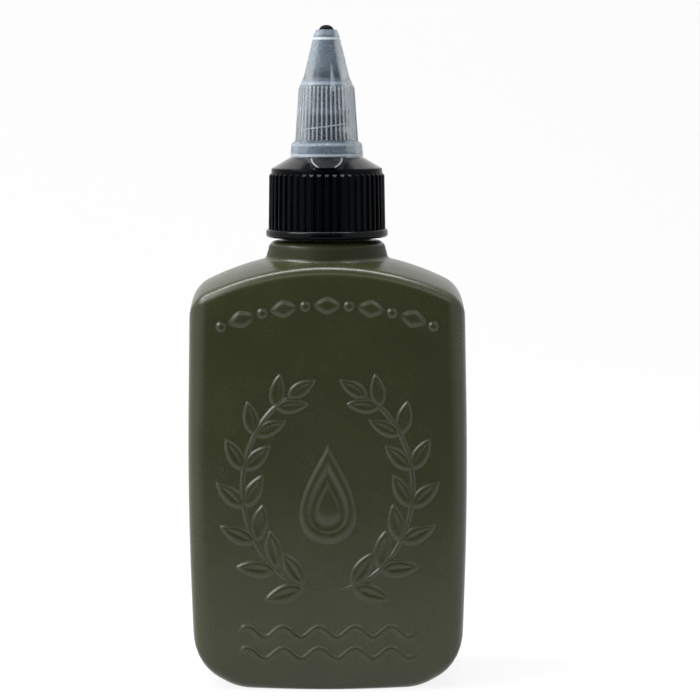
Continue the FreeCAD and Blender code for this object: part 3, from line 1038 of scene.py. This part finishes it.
# %% Copies in their places
def place_copies(piece, places):
    """Copies of a motif, one for each x, z, turn and size."""
    twins = []
    for x, z, turn, size in places:
        twin = piece.copy()
        twin.data = piece.data.copy()
        bpy.context.scene.collection.objects.link(twin)
        place = Matrix.Translation((x * mm, 0, z * mm))
        twin.matrix_world = place @ Matrix.Rotation(-turn, 4, "Y") @ Matrix.Scale(size, 4)
        twins.append(twin)
    bpy.data.objects.remove(piece)
    return twins


leaf_pairs, first_pair, pair_gap, leaf_lean, leaf_shrink = 7, -74, 21, 0.66, 0.035
tip_leaf, tip_size = 62, 0.78
leaf_places = []
for side in (1, -1):
    for number in range(leaf_pairs):
        x, z, heading = branch_point(side, first_pair + pair_gap * number)
        size = 1.0 - leaf_shrink * number
        leaf_places += [(x, z, heading + turn, size) for turn in (leaf_lean, -leaf_lean)]
    x, z, heading = branch_point(side, tip_leaf)
    leaf_places.append((x, z, heading, tip_size))
chain_radius, chain_middle, chain_turn, chain_half_count = 51.0, 22.0, 0.08, 5
drop_middle = 37.5
chain_lozenges, chain_dots = [], []
for number in range(-chain_half_count, chain_half_count + 1):
    turn = number * chain_turn
    spot = (chain_radius * math.sin(turn), chain_middle + chain_radius * math.cos(turn), -turn, 1.0)
    (chain_dots if number % 2 else chain_lozenges).append(spot)
for motif, places in ((leaf, leaf_places), (lozenge, chain_lozenges), (dot, chain_dots)):
    ornament += place_copies(motif, places)
drop.location = (0, 0, drop_middle * mm)
print("leaves:", len(leaf_places), "motifs in all:", len(ornament))

# %% Join and set onto the front
join(ornament)
drop.name = "front_ornament"
for vertex in drop.data.vertices:
    vertex.co.y -= (half_depth - face_sag(vertex.co.x / mm)) * mm
bpy.ops.object.shade_smooth_by_angle(angle=math.radians(50))
dress(drop, olive)
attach(drop, "bottle")
foremost = min(vertex.co.y for vertex in drop.data.vertices) / mm
print("ornament:", len(drop.data.polygons), "faces, front at", round(foremost, 3))

# %% [markdown]
# ## Rim of the closure's tab
# On the front of the closure's cone lies a small raised tab, which stops the spout. Its edge is a fine
# bead that shows as a thin bright line. The solid has a plain edge, so the bead is added: a thin round
# ridge along both sides of the tab, laid on the cone that the tab's face follows. Its light grey finish is
# a painted highlight for that bright line.


# %% Tab rim
cone_foot, cone_foot_reach, cone_head_reach, cone_rise = 98.44, 10.55, 7.0, 2.1
tab_path = ((2.9, 100.25), (2.84, 99.95), (2.74, 99.55), (2.5, 99.2), (2.1, 98.85), (1.5, 98.5))
tab_steps, bead, bead_sides = 14, 0.18, 10
tab_outwards = Vector((0, -0.51, 0.86))


def on_tab(x, z):
    """The point of the tab's face at x and a height."""
    reach = cone_foot_reach - (z - cone_foot) * (cone_foot_reach - cone_head_reach) / cone_rise
    return Vector((x, -math.sqrt(reach**2 - x**2), z))


rims = []
for side in (-1, 1):
    line = [Vector(point) for point in evenly([on_tab(side * x, z) for x, z in tab_path], tab_steps)]
    sections = []
    for index, point in enumerate(line):
        along = (line[min(index + 1, tab_steps)] - line[max(index - 1, 0)]).normalized()
        across = along.cross(tab_outwards).normalized()
        lift = across.cross(along).normalized()
        thick = bead * end_growth(index, len(line), first=0.4, gain=0.3)
        sections.append([
            tuple(point + across * thick * math.cos(turn) + lift * thick * math.sin(turn))
            for turn in circle(bead_sides)
        ])
    rims.append(extruded_skin("tab_rim", sections))
tab_rim = join(rims)
tab_rim.name = "tab_rim"
bpy.ops.object.shade_smooth()
print("tab rim:", len(tab_rim.data.polygons), "faces")

# %% Edge with a painted highlight
painted_highlight_edge = Finish("painted_highlight_edge")
highlight_noise = painted_highlight_edge.noise(painted_highlight_edge.place(), 0.4, 2.0)
# The light grey is a painted highlight: the thin bright line along the tab's edge.
painted_highlight_edge.set(
    Base_Color=painted_highlight_edge.blend(highlight_noise, colour(92, 96, 100), colour(138, 142, 146)),
    Roughness=0.3 + highlight_noise * 0.1,
)
dress(tab_rim, painted_highlight_edge)
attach(tab_rim, "closure")
print("tab rim wears:", tab_rim.data.materials[0].name)

# %% [markdown]
# ## The end
# The dressed object is meant to stay in the box of the solids.
